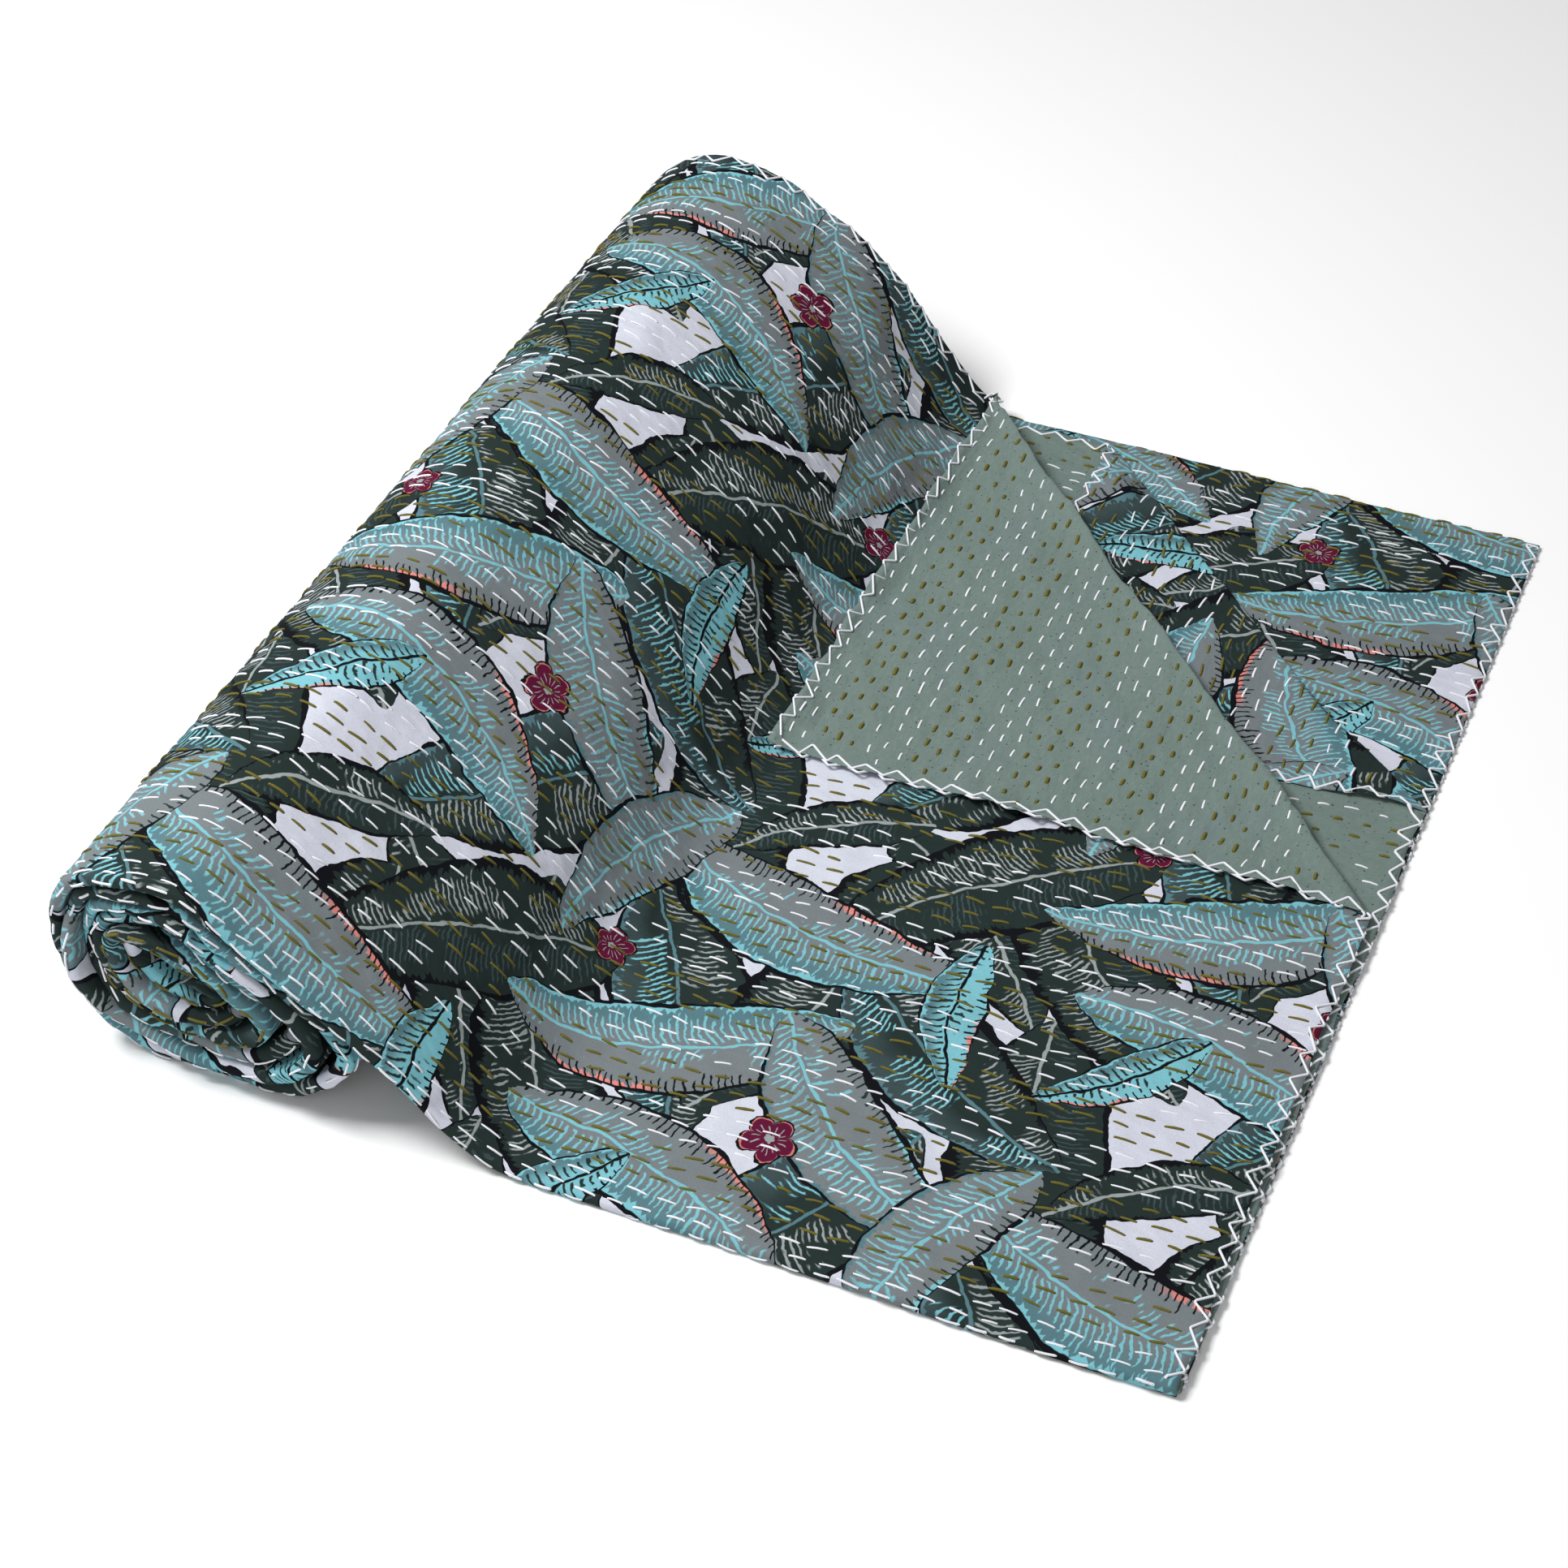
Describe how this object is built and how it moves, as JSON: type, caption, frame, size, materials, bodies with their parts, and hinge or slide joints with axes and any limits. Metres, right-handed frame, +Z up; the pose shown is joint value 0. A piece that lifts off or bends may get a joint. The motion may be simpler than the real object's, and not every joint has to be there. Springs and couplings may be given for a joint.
{
  "type": "kantha quilt",
  "caption": "Hand-stitched cotton quilt, leaf print outside and plain sage back, folded lengthwise in four, rolled up, with its loose end lying flat and corners turned back.",
  "frame": {"origin": "middle of the bounding box, on the surface the quilt lies on", "axes": "+Z up; +Y along the roll, from the folded edge to the side with the free edges; +X from the roll to the loose end"},
  "size_m": [0.588, 0.6908, 0.1419],
  "materials": {
    "printed_cotton": "matte leaf-printed cotton, hand quilted",
    "sage_cotton": "matte plain-weave cotton back",
    "white_thread": "soft cotton embroidery thread",
    "olive_thread": "soft cotton embroidery thread"
  },
  "bodies": {
    "root": {"quilt": "printed_cotton"}
  },
  "joints": []
}
